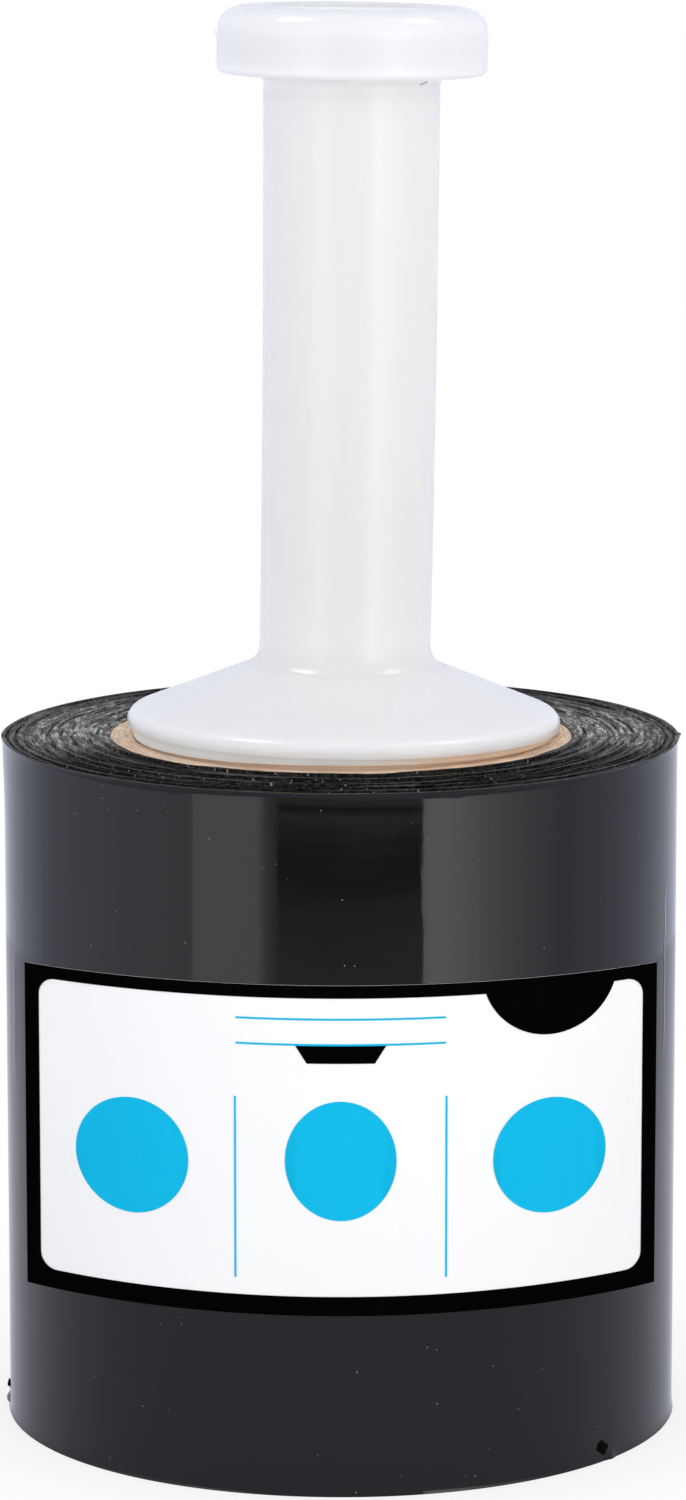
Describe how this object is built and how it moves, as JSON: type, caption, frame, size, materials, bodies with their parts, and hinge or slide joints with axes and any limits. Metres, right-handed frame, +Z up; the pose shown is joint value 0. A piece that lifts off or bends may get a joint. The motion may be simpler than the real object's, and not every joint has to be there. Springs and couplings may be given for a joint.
{
  "type": "stretch wrap roll",
  "caption": "Narrow roll of black stretch film on a paper core, with a printed label and a hollow moulded handle that turns in the core.",
  "frame": {"origin": "on the roll's axis, at the middle of its lower end, where it stands", "axes": "+Z up along the roll's axis towards the knob of the handle, and the label faces -Y"},
  "size_m": [0.124, 0.1243, 0.2596],
  "materials": {
    "film": "gloss",
    "core_board": "matte",
    "handle_plastic": "satin",
    "label_white": "satin",
    "label_black": "satin",
    "label_blue": "satin"
  },
  "bodies": {
    "roll": {"film_roll": "film", "core": "core_board", "label_sheet": "label_white", "label_black_print": "label_black", "label_blue_print": "label_blue"},
    "handle": {"handle": "handle_plastic"}
  },
  "joints": [
    {"name": "handle_spin", "type": "hinge", "parent": "roll", "child": "handle", "pos_m": [0, 0, 0.127], "axis": [0, 0, 1], "continuous": true}
  ]
}
